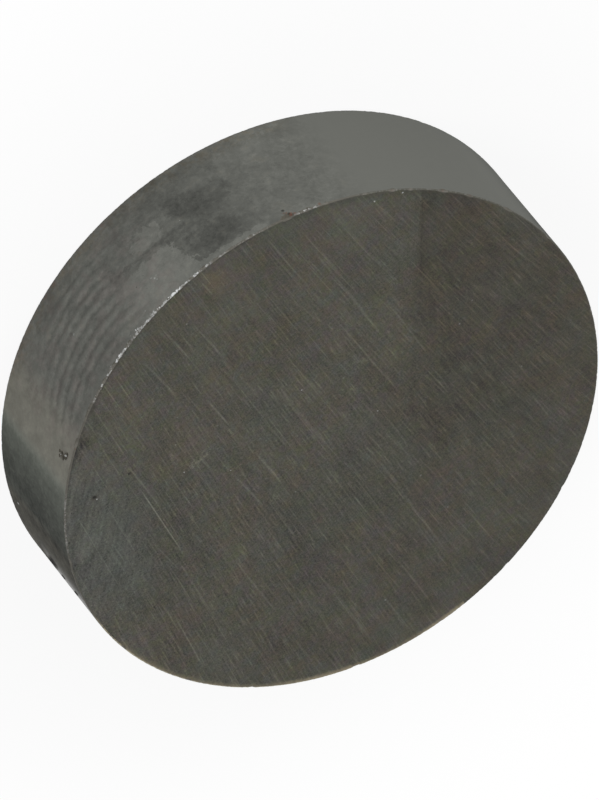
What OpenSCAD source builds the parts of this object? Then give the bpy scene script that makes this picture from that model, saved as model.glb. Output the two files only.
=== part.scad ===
// Disc magnet: a plain round disc of sintered ferrite, magnetised through its thickness.
// Both pole faces are ground flat, the wall is as the die left it, and the sharp rims have
// worn a little and flaked in places, as brittle ferrite does.
// The origin is the centre of the lower pole face, and +Z is the disc's axis.

/* [Disc] */
// Diameter over the wall
disc_d = 20; // [12:0.5:40]
// Thickness between the two pole faces
disc_t = 5; // [3:0.25:12]

/* [Rims] */
// Radius worn onto the upper rim
upper_rim_r = 0.05; // [0.03:0.01:0.15]
// Radius worn onto the lower rim
lower_rim_r = 0.07; // [0.03:0.01:0.15]

/* [Wear] */
// How deep every chip and pit is, against the worn disc
wear_depth = 1; // [0.6:0.1:1.6]
// How long every chip and how wide every pit is, against the worn disc
wear_spread = 1; // [0.7:0.1:1.4]
// Depth of the hollows that the grinding wheel tore out of the pole faces
face_pit_depth = 0.05; // [0.02:0.01:0.1]

/* [Hidden] */

disc_r = disc_d / 2;
disc_facets = 180;
scoop_facets = 48;

// Chips in a rim: [angle round the disc, length along the rim, bite into the corner, lean].
// The bite is measured inwards from the worn rim. The lean is the angle from which the flake
// was knocked off: 0 is square to the wall and runs down it, 90 is square to the pole face.
upper_chips = [
    // A ragged run, where the rim was knocked again and again
    [-94, 0.40, 0.04, 40], [-91.5, 0.50, 0.07, 45], [-88.5, 0.40, 0.05, 50],
    [-84, 0.50, 0.04, 40], [-80, 0.45, 0.05, 45], [-77, 0.35, 0.04, 50],
    [-74, 0.60, 0.08, 50], [-71, 0.45, 0.07, 40], [-68.5, 0.40, 0.05, 50],
    [-65.5, 0.50, 0.07, 45], [-62, 0.40, 0.06, 50], [-60, 0.30, 0.04, 40],
    // A long flake off the face, and the nicks that follow it
    [-57.5, 0.25, 0.05, 40], [-55, 0.90, 0.07, 70], [-48, 0.45, 0.08, 65],
    [-42, 0.50, 0.04, 60], [-30, 0.60, 0.03, 55], [-19, 0.50, 0.04, 50],
    // A flake that ran down the wall, with a long one beside it
    [-98, 0.50, 0.04, 45], [-102.5, 0.35, 0.04, 40], [-105.5, 0.45, 0.05, 45],
    [-110.5, 0.55, 0.11, 12], [-114.5, 0.80, 0.06, 45], [-119, 0.40, 0.04, 50],
    // Small nicks, further apart, round the rest of the rim
    [-127, 0.35, 0.03, 45], [-133, 0.40, 0.05, 40], [-137, 0.30, 0.04, 50],
    [-144.5, 0.50, 0.06, 50], [-151, 0.40, 0.04, 60], [-161, 0.50, 0.05, 60],
    [-174, 0.35, 0.03, 45], [8, 0.40, 0.03, 60], [27, 0.30, 0.02, 65],
    [42, 0.40, 0.03, 40], [65, 0.50, 0.03, 40], [84, 0.30, 0.02, 70],
    [101, 0.40, 0.02, 70], [120.5, 0.35, 0.03, 40], [141, 0.35, 0.02, 65],
    [163, 0.30, 0.03, 60]
];
lower_chips = [
    [17, 0.60, 0.05, 30], [23, 0.40, 0.06, 50], [45, 0.45, 0.04, 45],
    [64, 0.35, 0.04, 45], [88, 0.50, 0.04, 40], [105, 0.35, 0.04, 40],
    [127, 0.70, 0.07, 30], [134, 0.40, 0.04, 50], [150, 0.50, 0.04, 50],
    [168, 0.45, 0.05, 45]
];

// A star of small flakes, knocked out of the wall close below the upper rim:
// [angle round the disc, distance below the upper face, width, depth].
star_pits = [
    [-42.9, 0.68, 0.24, 0.06], [-43.2, 0.44, 0.24, 0.07], [-43.9, 0.36, 0.17, 0.05],
    [-42.4, 0.56, 0.17, 0.05], [-42.1, 0.80, 0.14, 0.04], [-43.0, 0.86, 0.13, 0.04]
];

// Pits in the wall: [angle round the disc, share of the thickness below the upper face,
// width, depth].
wall_pits = [
    // Nicks one below another
    [-2.0, 0.348, 0.26, 0.06], [-2.0, 0.552, 0.28, 0.06], [-2.9, 0.744, 0.62, 0.11],
    [-1.9, 0.890, 0.16, 0.04],
    // Single ones
    [57, 0.340, 0.40, 0.05], [123, 0.620, 0.35, 0.05], [149, 0.220, 0.30, 0.04]
];

// Pits in the pole faces: [angle round the disc, share of the radius, width].
upper_face_pits = [[-33.5, 0.89, 0.22], [-38.5, 0.765, 0.14]];
lower_face_pits = [[35, 0.620, 0.24], [150, 0.800, 0.18], [-70, 0.350, 0.16]];

// Radius of the sphere that leaves a hollow so wide at the surface and so deep.
function scoop_r(width, depth) = (width * width / 4 + depth * depth) / (2 * depth);

// How far a worn radius pulls the corner back, along the diagonal.
function rim_loss(rim_r) = rim_r * (sqrt(2) - 1);

// Half of the disc's section, with both worn rims as true arcs.
module disc_section() {
    translate([0, lower_rim_r])
        square([disc_r, disc_t - lower_rim_r - upper_rim_r]);
    square([disc_r - lower_rim_r, disc_t / 2]);
    translate([0, disc_t / 2])
        square([disc_r - upper_rim_r, disc_t / 2]);
    translate([disc_r - lower_rim_r, lower_rim_r])
        circle(r = lower_rim_r, $fn = scoop_facets);
    translate([disc_r - upper_rim_r, disc_t - upper_rim_r])
        circle(r = upper_rim_r, $fn = scoop_facets);
}

// The hollow left by one chip in a rim: side is 1 on the upper rim and -1 on the lower one.
module rim_scoop(chip, side, rim_r) {
    bite = chip[2] * wear_depth + rim_loss(rim_r);
    radius = scoop_r(chip[1] * wear_spread, bite);
    corner_z = side > 0 ? disc_t : 0;
    reach = radius - bite;
    rotate([0, 0, chip[0]])
        translate([disc_r + reach * cos(chip[3]), 0, corner_z + side * reach * sin(chip[3])])
            sphere(r = radius, $fn = scoop_facets);
}

module wall_pit(pit, below) {
    depth = pit[3] * wear_depth;
    radius = scoop_r(pit[2] * wear_spread, depth);
    rotate([0, 0, pit[0]])
        translate([disc_r + radius - depth, 0, disc_t - below])
            sphere(r = radius, $fn = scoop_facets);
}

module face_pit(pit, side) {
    depth = face_pit_depth * wear_depth;
    radius = scoop_r(pit[2] * wear_spread, depth);
    face_z = side > 0 ? disc_t : 0;
    rotate([0, 0, pit[0]])
        translate([pit[1] * disc_r, 0, face_z + side * (radius - depth)])
            sphere(r = radius, $fn = scoop_facets);
}

module magnet() {
    color([0.32, 0.31, 0.29])
        difference() {
            rotate_extrude($fn = disc_facets) disc_section();
            for (chip = upper_chips) rim_scoop(chip, 1, upper_rim_r);
            for (chip = lower_chips) rim_scoop(chip, -1, lower_rim_r);
            for (pit = star_pits) wall_pit(pit, pit[1]);
            for (pit = wall_pits) wall_pit(pit, pit[1] * disc_t);
            for (pit = upper_face_pits) face_pit(pit, 1);
            for (pit = lower_face_pits) face_pit(pit, -1);
        }
}

magnet();
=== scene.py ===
"""Looks of the disc magnet: a ground, worn and chipped disc of sintered ferrite on a pale floor.

Lengths are in millimetres up to the point where a mesh is written, and angles are in degrees.
Angles round the disc are measured from +X towards +Y. On the wall they run from -270 to 90, so
that their seam lies at the back, and "down" is the distance below the upper face.
"""

import functools
import math
import operator

import bmesh
import bpy
import numpy as np
from mathutils import Matrix, Vector, noise


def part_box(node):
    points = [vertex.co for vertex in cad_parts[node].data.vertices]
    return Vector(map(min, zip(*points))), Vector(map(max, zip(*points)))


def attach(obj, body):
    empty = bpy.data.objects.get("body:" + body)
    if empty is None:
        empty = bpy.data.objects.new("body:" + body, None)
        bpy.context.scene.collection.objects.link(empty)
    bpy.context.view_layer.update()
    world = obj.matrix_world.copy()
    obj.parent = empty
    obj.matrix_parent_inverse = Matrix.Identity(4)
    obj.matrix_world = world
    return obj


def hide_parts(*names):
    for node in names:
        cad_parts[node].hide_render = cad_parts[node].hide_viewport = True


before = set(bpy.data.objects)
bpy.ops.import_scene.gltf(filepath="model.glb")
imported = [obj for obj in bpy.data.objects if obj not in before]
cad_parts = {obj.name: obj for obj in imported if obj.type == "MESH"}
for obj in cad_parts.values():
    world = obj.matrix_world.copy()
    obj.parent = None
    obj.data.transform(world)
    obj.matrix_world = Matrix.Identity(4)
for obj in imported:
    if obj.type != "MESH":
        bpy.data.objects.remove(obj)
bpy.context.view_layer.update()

MM = 0.001
NODE = "magnet"

# The disc, from the frame.
low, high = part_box(NODE)
RADIUS = min(high.x, high.y, -low.x, -low.y) / MM
TOP = high.z / MM
BOTTOM = low.z / MM
THICKNESS = TOP - BOTTOM
# Length of one degree of the wall.
DEGREE = math.radians(1) * RADIUS

# The worn rims, and how far a chip's bite is measured from the sharp corner.
UPPER_RIM_R = 0.05
LOWER_RIM_R = 0.07
CORNER_LOSS = math.sqrt(2) - 1

# Chips: angle round the disc, length along the rim, bite into the corner, lean.
UPPER_CHIPS = [
    (-94, 0.4, 0.04, 40), (-91.5, 0.5, 0.07, 45), (-88.5, 0.4, 0.05, 50), (-84, 0.5, 0.04, 40),
    (-80, 0.45, 0.05, 45), (-77, 0.35, 0.04, 50), (-74, 0.6, 0.08, 50), (-71, 0.45, 0.07, 40),
    (-68.5, 0.4, 0.05, 50), (-65.5, 0.5, 0.07, 45), (-62, 0.4, 0.06, 50), (-60, 0.3, 0.04, 40),
    (-57.5, 0.25, 0.05, 40), (-55, 0.9, 0.07, 70), (-48, 0.45, 0.08, 65), (-42, 0.5, 0.04, 60),
    (-30, 0.6, 0.03, 55), (-19, 0.5, 0.04, 50), (-98, 0.5, 0.04, 45), (-102.5, 0.35, 0.04, 40),
    (-105.5, 0.45, 0.05, 45), (-110.5, 0.55, 0.11, 12), (-114.5, 0.8, 0.06, 45),
    (-119, 0.4, 0.04, 50), (-127, 0.35, 0.03, 45), (-133, 0.4, 0.05, 40), (-137, 0.3, 0.04, 50),
    (-144.5, 0.5, 0.06, 50), (-151, 0.4, 0.04, 60), (-161, 0.5, 0.05, 60), (-174, 0.35, 0.03, 45),
    (8, 0.4, 0.03, 60), (27, 0.3, 0.02, 65), (42, 0.4, 0.03, 40), (65, 0.5, 0.03, 40),
    (84, 0.3, 0.02, 70), (101, 0.4, 0.02, 70), (120.5, 0.35, 0.03, 40), (141, 0.35, 0.02, 65),
    (163, 0.3, 0.03, 60),
]
LOWER_CHIPS = [
    (17, 0.6, 0.05, 30), (23, 0.4, 0.06, 50), (45, 0.45, 0.04, 45), (64, 0.35, 0.04, 45),
    (88, 0.5, 0.04, 40), (105, 0.35, 0.04, 40), (127, 0.7, 0.07, 30), (134, 0.4, 0.04, 50),
    (150, 0.5, 0.04, 50), (168, 0.45, 0.05, 45),
]
# Pits in the wall: angle, distance below the upper face, width, depth. The first six are one
# star of small flakes, and the next four lie one below another.
WALL_PITS = [
    (-42.9, 0.68, 0.24, 0.06), (-43.2, 0.44, 0.24, 0.07), (-43.9, 0.36, 0.17, 0.05),
    (-42.4, 0.56, 0.17, 0.05), (-42.1, 0.8, 0.14, 0.04), (-43, 0.86, 0.13, 0.04),
    (-2, 1.74, 0.26, 0.06), (-2, 2.76, 0.28, 0.06), (-2.9, 3.72, 0.62, 0.11),
    (-1.9, 4.45, 0.16, 0.04), (57, 1.7, 0.4, 0.05), (123, 3.1, 0.35, 0.05), (149, 1.1, 0.3, 0.04),
]
# Pits in the pole faces: angle, share of the radius, width.
UPPER_FACE_PITS = [(-33.5, 0.89, 0.22), (-38.5, 0.765, 0.14)]
LOWER_FACE_PITS = [(35, 0.62, 0.24), (150, 0.8, 0.18), (-70, 0.35, 0.16)]
FACE_PIT_DEPTH = 0.05

# How hard the upper rim was knocked: start and end angle, depth of the bruising. It fades over
# the distance from the corner given by its reach.
BRUISES = [(-96, -58, 0.022), (-122, -100, 0.014), (-58, -14, 0.01)]
REST_BRUISE = 0.006
BRUISE_REACH = (0.04, 0.2)

# Ripples pressed into the wall, as arcs about a point above the upper face. Their ends are two
# spans of angle over which they rise and fade, and their depths two such spans of down.
RIPPLE_ANGLE = -66.4
RIPPLE_CENTRE = 6.35
RIPPLE_PITCH = 0.474
RIPPLE_CREST = 6.46
RIPPLE_HEIGHT = 0.0035
RIPPLE_ENDS = ((-78, -73), (-62, -40))
RIPPLE_DEPTHS = ((0.3, 0.8), (4.0, 4.5))
WALL_SWELL = 0.002

# Rings of the mesh on the pole faces: tenths of the radius, number of columns.
UPPER_RINGS = [(0.5, 24), (1.2, 48), (2.4, 96), (4.2, 160), (6.2, 256), (8, 448), (9, 768)]
LOWER_RINGS = [(9, 512), (8, 320), (6.2, 192), (4.2, 128), (2.4, 72), (1.2, 36), (0.5, 18)]
# Rings beside the worn corners, by their distance from the sharp corner.
UPPER_OFFSETS = [0.075, 0.11, 0.16, 0.22, 0.3, 0.42]
LOWER_OFFSETS = [0.1, 0.16, 0.24, 0.36]
# Columns of the two worn corners, and steps of their arcs.
UPPER_CORNER = (1536, 5)
LOWER_CORNER = (1024, 4)
# Rows of the wall, and its columns: close together between two angles, where the ripples are,
# with so many before and after them.
WALL_ROW = 0.062
FINE_WALL = (280, 320)
FINE_COLUMN = 0.35
COARSE_COLUMNS = (300, 44)
# The mesh round a pit: how far it is refined, as a share of the width, and edges to a width.
PIT_REACH = 0.75
PIT_EDGES = 10
# How ragged the hollows are, as a share of their radius, and the depths over which their
# surface counts as broken.
CHIP_RAGGED = 0.03
PIT_RAGGED = 0.06
BROKEN_DEPTHS = (-0.004, 0.012)
# Edges sharper than this angle aren't smoothed.
SHARP_ANGLE = 32


# ---------------- shape

def smoothstep(x, start, end):
    t = np.clip((x - start) / (end - start), 0, 1)
    return t * t * (3 - 2 * t)


def window(x, rise, fall):
    """0, then up to 1 over the span rise, and back to 0 over the span fall."""
    return smoothstep(x, *rise) * (1 - smoothstep(x, *fall))


def fractal(points, scale, octaves=3):
    """Fractal noise, about -1 to 1, at each point."""
    return np.array([noise.fractal(Vector(p) * scale, 1.0, 2.0, octaves) for p in points])


def cylindrical(points):
    """Distance from the axis and angle round the disc, for each point."""
    return np.hypot(points[:, 0], points[:, 1]), np.degrees(np.arctan2(points[:, 1], points[:, 0]))


def polar(r, degrees, z):
    """A point from its distance from the axis, its angle round the disc and its height."""
    a = math.radians(degrees)
    return np.array([r * math.cos(a), r * math.sin(a), z])


def even_angles(count):
    return np.arange(count) * 360.0 / count


def wall_angles():
    start, end = FINE_WALL
    before = np.linspace(0, start, COARSE_COLUMNS[0], endpoint=False)
    after = np.linspace(end, 360, COARSE_COLUMNS[1], endpoint=False)
    return np.concatenate([before, np.arange(start, end, FINE_COLUMN), after])


def face_rings(zone, z, rings):
    return [(zone, r / 10 * RADIUS, z, even_angles(count)) for r, count in rings]


def corner_rings(face, corner_z, side, rim_r, offsets, corner):
    """Rings over a worn corner, from the face to the wall. Side is 1 above and -1 below."""
    columns, arc_steps = corner
    angles = even_angles(columns)
    rings = [(face, RADIUS - offset, corner_z, angles) for offset in reversed(offsets)]
    for k in range(arc_steps + 1):
        a = math.radians(90 * k / arc_steps)
        inset, drop = rim_r * (1 - math.sin(a)), rim_r * (1 - math.cos(a))
        rings.append(("rim", RADIUS - inset, corner_z - side * drop, angles))
    return rings + [("wall", RADIUS, corner_z - side * offset, angles) for offset in offsets]


def disc_rings():
    """The section as rings (zone, radius, height, angles), from the upper face to the lower."""
    columns = wall_angles()
    first = TOP - UPPER_OFFSETS[-1] - WALL_ROW
    last = BOTTOM + LOWER_OFFSETS[-1] + WALL_ROW / 2
    rows = [("wall", RADIUS, z, columns) for z in np.arange(first, last, -WALL_ROW)]
    upper = corner_rings("upper", TOP, 1, UPPER_RIM_R, UPPER_OFFSETS, UPPER_CORNER)
    lower = corner_rings("lower", BOTTOM, -1, LOWER_RIM_R, LOWER_OFFSETS, LOWER_CORNER)
    faces = face_rings("upper", TOP, UPPER_RINGS), face_rings("lower", BOTTOM, LOWER_RINGS)
    return faces[0] + upper + rows + lower[::-1] + faces[1]


def stitch(first, first_angles, second, second_angles):
    """Faces between two rings, given the index of each ring's first vertex."""
    n, m = len(first_angles), len(second_angles)
    if n == m and np.allclose(first_angles, second_angles):
        pairs = [(k, (k + 1) % n) for k in range(n)]
        return [(first + k, second + k, second + j, first + j) for k, j in pairs]
    faces = []
    i = j = 0
    while i < n or j < m:
        next_i = first_angles[i + 1] if i + 1 < n else 360.0
        next_j = second_angles[j + 1] if j + 1 < m else 360.0
        if j >= m or (i < n and next_i <= next_j):
            faces.append((first + i % n, second + j % m, first + (i + 1) % n))
            i += 1
        else:
            faces.append((first + i % n, second + j % m, second + (j + 1) % m))
            j += 1
    return faces


def disc_surface():
    """Vertices, faces and each face's zone for the unworn disc."""
    rings = disc_rings()
    points = [(0.0, 0.0, TOP)]
    starts = []
    for _, r, z, angles in rings:
        starts.append(len(points))
        a = np.radians(angles)
        points.extend(zip(r * np.cos(a), r * np.sin(a), np.full(len(a), z)))
    last = len(points)
    points.append((0.0, 0.0, BOTTOM))
    n = len(rings[0][3])
    faces = [(0, starts[0] + k, starts[0] + (k + 1) % n) for k in range(n)]
    zones = ["upper"] * n
    for k in range(len(rings) - 1):
        made = stitch(starts[k], rings[k][3], starts[k + 1], rings[k + 1][3])
        pair = {rings[k][0], rings[k + 1][0]}
        zone = "rim" if pair == {"rim"} else (pair - {"rim"}).pop()
        faces += made
        zones += [zone] * len(made)
    n = len(rings[-1][3])
    faces += [(last, starts[-1] + (k + 1) % n, starts[-1] + k) for k in range(n)]
    zones += ["lower"] * n
    return np.array(points), faces, zones


def scoop_radius(width, depth):
    """Radius of the sphere that leaves a hollow so wide at the surface and so deep."""
    return (width * width / 4 + depth * depth) / (2 * depth)


def rim_scoops():
    """Every rim chip as (centre, radius)."""
    scoops = []
    ends = [(UPPER_CHIPS, 1, UPPER_RIM_R, TOP), (LOWER_CHIPS, -1, LOWER_RIM_R, BOTTOM)]
    for chips, side, rim_r, corner_z in ends:
        for angle, length, bite, lean in chips:
            bite += rim_r * CORNER_LOSS
            radius = scoop_radius(length, bite)
            reach, tilt = radius - bite, math.radians(lean)
            z = corner_z + side * reach * math.sin(tilt)
            scoops.append((polar(RADIUS + reach * math.cos(tilt), angle, z), radius))
    return scoops


def pit_scoop(mouth, out, width, depth):
    """A pit as (its middle at the surface, centre of its sphere, radius, width)."""
    radius = scoop_radius(width, depth)
    return mouth, mouth + out * (radius - depth), radius, width


def pit_scoops():
    scoops = []
    for angle, down, width, depth in WALL_PITS:
        scoops.append(pit_scoop(polar(RADIUS, angle, TOP - down), polar(1, angle, 0), width, depth))
    for pits, side, z in [(UPPER_FACE_PITS, 1.0, TOP), (LOWER_FACE_PITS, -1.0, BOTTOM)]:
        for angle, share, width in pits:
            mouth = polar(share * RADIUS, angle, z)
            scoops.append(pit_scoop(mouth, np.array([0, 0, side]), width, FACE_PIT_DEPTH))
    return scoops


def refine(mesh, spot, reach, size):
    """Splits the edges near a spot until none is longer than size."""
    spot = Vector(spot)
    for _ in range(8):
        edges = []
        for edge in mesh.edges:
            middle = (edge.verts[0].co + edge.verts[1].co) / 2
            span = edge.calc_length()
            if span > size and (middle - spot).length < reach + span / 2:
                edges.append(edge)
        if not edges:
            return
        bmesh.ops.subdivide_edges(mesh, edges=edges, cuts=1, use_grid_fill=True)
        bmesh.ops.triangulate(mesh, faces=[f for f in mesh.faces if len(f.verts) > 4])


def sink(points, broken, centre, radius, ragged):
    """Pushes the points inside a sphere out to it, away from its centre, and marks them broken."""
    away = points - centre
    distance = np.linalg.norm(away, axis=1)
    near = np.nonzero(distance < radius * 1.25)[0]
    if not len(near):
        return
    wanted = radius * (1 + ragged * fractal(points[near], 9.0))
    inside = distance[near] < wanted
    pushed = near[inside]
    share = (wanted[inside] / distance[pushed])[:, None]
    points[pushed] = centre + away[pushed] * share
    depth = wanted - distance[near]
    broken[near] = np.maximum(broken[near], smoothstep(depth, *BROKEN_DEPTHS))


def bruise_rims(points):
    """Knocks the upper and lower rims back unevenly, along the diagonal of the corner."""
    radial, angle = cylindrical(points)
    for z, side in [(TOP, 1), (BOTTOM, -1)]:
        from_corner = np.hypot(RADIUS - radial, z - points[:, 2])
        near = np.nonzero(from_corner < BRUISE_REACH[1])[0]
        spots = points[near]
        amount = np.full(len(near), REST_BRUISE)
        for start, end, depth in BRUISES if side > 0 else []:
            held = window(angle[near], (start - 2, start + 2), (end - 2, end + 2))
            amount = np.maximum(amount, depth * held)
        fade = 1 - smoothstep(from_corner[near], *BRUISE_REACH)
        rough = np.abs(fractal(spots, 5.0, 4)) + 0.5 * np.maximum(0, fractal(spots, 14.0, 2))
        shift = amount * fade * np.clip(rough * 2.2, 0, 2.5)
        outward = spots * [1, 1, 0] / radial[near][:, None]
        points[near] -= (outward + [0, 0, side]) / math.sqrt(2) * shift[:, None]


def ripple_wall(points, on_wall):
    """Presses the ripples and a slight unevenness into the wall, always inwards."""
    wall = np.nonzero(on_wall)[0]
    radial, angle = cylindrical(points[wall])
    along = np.radians(angle - RIPPLE_ANGLE) * RADIUS
    down = TOP - points[wall, 2]
    reach = np.hypot(along, down + RIPPLE_CENTRE)
    wave = 0.5 + 0.5 * np.cos((reach - RIPPLE_CREST) / RIPPLE_PITCH * 2 * math.pi)
    held = window(angle, *RIPPLE_ENDS) * window(down, *RIPPLE_DEPTHS)
    flat = np.minimum(smoothstep(down, 0.1, 0.5), smoothstep(THICKNESS - down, 0.1, 0.5))
    swell = WALL_SWELL * (1 + fractal(points[wall], 0.35, 2)) * flat
    shift = RIPPLE_HEIGHT * held * (1 - wave) + swell
    points[wall, :2] *= (1 - shift / radial)[:, None]


def refined_mesh(pits):
    """The unworn disc as a mesh, with its zones as materials, and finer where the pits will be."""
    points, faces, zones = disc_surface()
    zone_names = ["upper", "wall", "rim", "lower"]
    mesh = bpy.data.meshes.new("disc")
    mesh.from_pydata(points.tolist(), [], faces)
    mesh.polygons.foreach_set("material_index", [zone_names.index(z) for z in zones])
    work = bmesh.new()
    work.from_mesh(mesh)
    for mouth, _, _, width in pits:
        refine(work, mouth, width * PIT_REACH, width / PIT_EDGES)
    work.to_mesh(mesh)
    work.free()
    return mesh


def disc_mesh():
    """The worn disc as one mesh, with a mask of its broken surface."""
    pits = pit_scoops()
    mesh = refined_mesh(pits)
    points = np.empty(len(mesh.vertices) * 3)
    mesh.vertices.foreach_get("co", points)
    points = points.reshape(-1, 3)
    radial, _ = cylindrical(points)
    z = points[:, 2]
    ripple_wall(points, (radial > RADIUS - 1e-3) & (z < TOP - 0.08) & (z > BOTTOM + 0.09))
    bruise_rims(points)
    broken = np.zeros(len(points))
    for centre, radius in rim_scoops():
        sink(points, broken, centre, radius, CHIP_RAGGED)
    for _, centre, radius, _ in pits:
        sink(points, broken, centre, radius, PIT_RAGGED)
    mesh.vertices.foreach_set("co", (points * MM).ravel())
    mask = mesh.attributes.new("broken", "FLOAT", "POINT")
    mask.data.foreach_set("value", broken.astype(np.float32))
    return mesh


# ---------------- material graphs

def srgb(red, green, blue):
    """A display colour, 0 to 255, as linear RGBA."""
    linear = []
    for value in (red, green, blue):
        v = value / 255
        linear.append(v / 12.92 if v <= 0.04045 else ((v + 0.055) / 1.055) ** 2.4)
    return (*linear, 1.0)


def total(values):
    return functools.reduce(operator.add, values)


class Value:
    """An output of a node. Sums and products with it are made as nodes."""

    def __init__(self, graph, socket):
        self.graph = graph
        self.socket = socket

    def __add__(self, other):
        return self.graph.math("ADD", self, other)

    def __sub__(self, other):
        return self.graph.math("SUBTRACT", self, other)

    def __rsub__(self, other):
        return self.graph.math("SUBTRACT", other, self)

    def __mul__(self, other):
        return self.graph.math("MULTIPLY", self, other)


class Graph:
    """Builds one node tree. Its calls take values, numbers, and tuples for colours and vectors."""

    def __init__(self, tree):
        self.tree = tree
        tree.nodes.clear()

    def node(self, kind, **settings):
        node = self.tree.nodes.new(kind)
        for key, value in settings.items():
            setattr(node, key, value)
        return node

    def feed(self, socket, value):
        if isinstance(value, Value):
            self.tree.links.new(value.socket, socket)
        elif isinstance(value, tuple):
            socket.default_value = value[:len(socket.default_value)]
        else:
            socket.default_value = value

    def made(self, node, inputs, *values):
        """Feeds the values to a node's inputs in turn, and gives its first output."""
        for socket, value in zip(inputs, values):
            self.feed(socket, value)
        return self.output(node, 0)

    def output(self, node, key):
        return Value(self, node.outputs[key])

    def math(self, operation, *values, clamp=False):
        node = self.node("ShaderNodeMath", operation=operation, use_clamp=clamp)
        return self.made(node, node.inputs, *values)

    def highest(self, *values):
        return functools.reduce(lambda one, other: self.math("MAXIMUM", one, other), values)

    def scaled(self, value, factor, offset):
        return self.math("MULTIPLY_ADD", value, factor, offset)

    def vector(self, operation, *values):
        node = self.node("ShaderNodeVectorMath", operation=operation)
        self.made(node, node.inputs, *values)
        return self.output(node, "Value" if operation == "LENGTH" else "Vector")

    def combine(self, x=0.0, y=0.0, z=0.0):
        node = self.node("ShaderNodeCombineXYZ")
        return self.made(node, node.inputs, x, y, z)

    def separate(self, vector):
        node = self.node("ShaderNodeSeparateXYZ")
        self.feed(node.inputs[0], vector)
        return [self.output(node, k) for k in range(3)]

    def reach(self, x, y):
        """Distance of the point (x, y) from (0, 0)."""
        return self.vector("LENGTH", self.combine(x, y))

    def turned(self, x, y, cos, sin):
        """The point (x, y) measured along a direction and across it."""
        return x * cos + y * sin, x * -sin + y * cos

    def noise(self, vector, scale=1.0, detail=2.0, roughness=0.5):
        """Noise, 0 to 1 with its middle at 0.5."""
        node = self.node("ShaderNodeTexNoise", noise_dimensions="3D")
        inputs = [node.inputs[name] for name in ("Vector", "Scale", "Detail", "Roughness")]
        return self.made(node, inputs, vector, scale, detail, roughness)

    def spread(self, value, amount):
        """Noise turned about its middle into a value from -amount to amount, roughly."""
        return self.scaled(value, 2.0 * amount, -amount)

    def cloud(self, amount, *settings):
        """Noise from -amount to amount, roughly."""
        return self.spread(self.noise(*settings), amount)

    def smooth(self, value, start, end):
        """0 before start and 1 after end, with soft shoulders."""
        node = self.node("ShaderNodeMapRange", interpolation_type="SMOOTHSTEP")
        return self.made(node, node.inputs, value, start, end, 0.0, 1.0)

    def fade(self, value, start, end):
        """1 before start and 0 after end."""
        return 1.0 - self.smooth(value, start, end)

    def band(self, value, start, end, soft):
        """1 between start and end, and 0 outside."""
        rise = self.smooth(value, start - soft, start + soft)
        fall = self.smooth(value, end - soft, end + soft)
        return self.math("SUBTRACT", rise, fall, clamp=True)

    def mix(self, factor, first, second):
        node = self.node("ShaderNodeMix", data_type="RGBA")
        self.made(node, (node.inputs[0], node.inputs[6], node.inputs[7]), factor, first, second)
        return self.output(node, 2)

    def layered(self, colour, tone, mask, strength):
        """Lays a tone over a colour where the mask is."""
        return self.mix(mask * strength, colour, tone)

    def shade(self, colour, value):
        """A colour made lighter or darker: value is the change, as a share."""
        node = self.node("ShaderNodeVectorMath", operation="SCALE")
        return self.made(node, (node.inputs[0], node.inputs["Scale"]), colour, value + 1.0)

    def bump(self, height, distance):
        """Height in millimetres times distance, as a normal."""
        node = self.node("ShaderNodeBump")
        inputs = [node.inputs[name] for name in ("Strength", "Distance", "Height")]
        return self.made(node, inputs, 1.0, distance * MM, height)

    def place(self):
        """The point on the object, in millimetres."""
        place = self.output(self.node("ShaderNodeTexCoord"), "Object")
        return self.vector("MULTIPLY", place, (1 / MM, 1 / MM, 1 / MM))

    def finish(self, colour, roughness, normal, specular):
        """One Principled surface: what is the same all over is set on its own sockets."""
        shader = self.node("ShaderNodeBsdfPrincipled")
        shader.inputs["IOR"].default_value = FERRITE_IOR
        shader.inputs["Specular IOR Level"].default_value = specular
        inputs = [shader.inputs[name] for name in ("Base Color", "Roughness", "Normal")]
        self.end("ShaderNodeOutputMaterial", self.made(shader, inputs, colour, roughness, normal))

    def end(self, kind, shader):
        self.feed(self.node(kind).inputs[0], shader)


def new_material(name):
    material = bpy.data.materials.new(name)
    material.use_nodes = True
    return material, Graph(material.node_tree)


# ---------------- marks on the ferrite, and painted light and shade

# Light scratches along the grinding of the upper face: from, to, width, strength.
FACE_SCRATCHES = [
    ((6.03, -4.1), (6.3, -0.3), 0.035, 1.5), ((7.85, 1.6), (8.25, 4.6), 0.04, 0.8),
    ((2.28, -1.9), (2.24, 0.2), 0.05, 0.8), ((2.42, -5.2), (2.38, -3.5), 0.05, 0.8),
    ((5.86, -5.3), (5.9, -3.2), 0.05, 0.6), ((6.85, -1.4), (6.75, 0.3), 0.04, 0.5),
    ((5.1, 1.2), (5.15, 4.9), 0.05, 0.5), ((3.35, -2), (3.18, 0.6), 0.05, 0.6),
    ((0.3, -3.6), (0.3, 0.3), 0.09, 0.4), ((-0.8, 1.2), (-0.6, 8), 0.06, 0.4),
    ((3.2, 4.7), (3.25, 9), 0.07, 0.4), ((2, 7), (2, 9.5), 0.05, 0.45),
    ((-4.35, -3.4), (-4.3, 0), 0.05, 0.45), ((-3.5, -7.8), (-3.5, -2), 0.06, 0.4),
    ((1.2, -8.5), (1.1, -6.2), 0.05, 0.5), ((0.1, -9.6), (0.05, -8.7), 0.05, 0.6),
    ((2.1, -9.2), (2, -7), 0.05, 0.5), ((3.3, -8.7), (3.1, -5.9), 0.06, 0.5),
    ((-2.5, -9.3), (-2.6, -6), 0.05, 0.4), ((-6.2, 4.2), (-6.2, 5.6), 0.05, 0.5),
    ((6.4, 5), (6.6, 8), 0.05, 0.35), ((-2.7, -1.8), (-2.1, -2.3), 0.07, 0.4),
]
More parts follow.
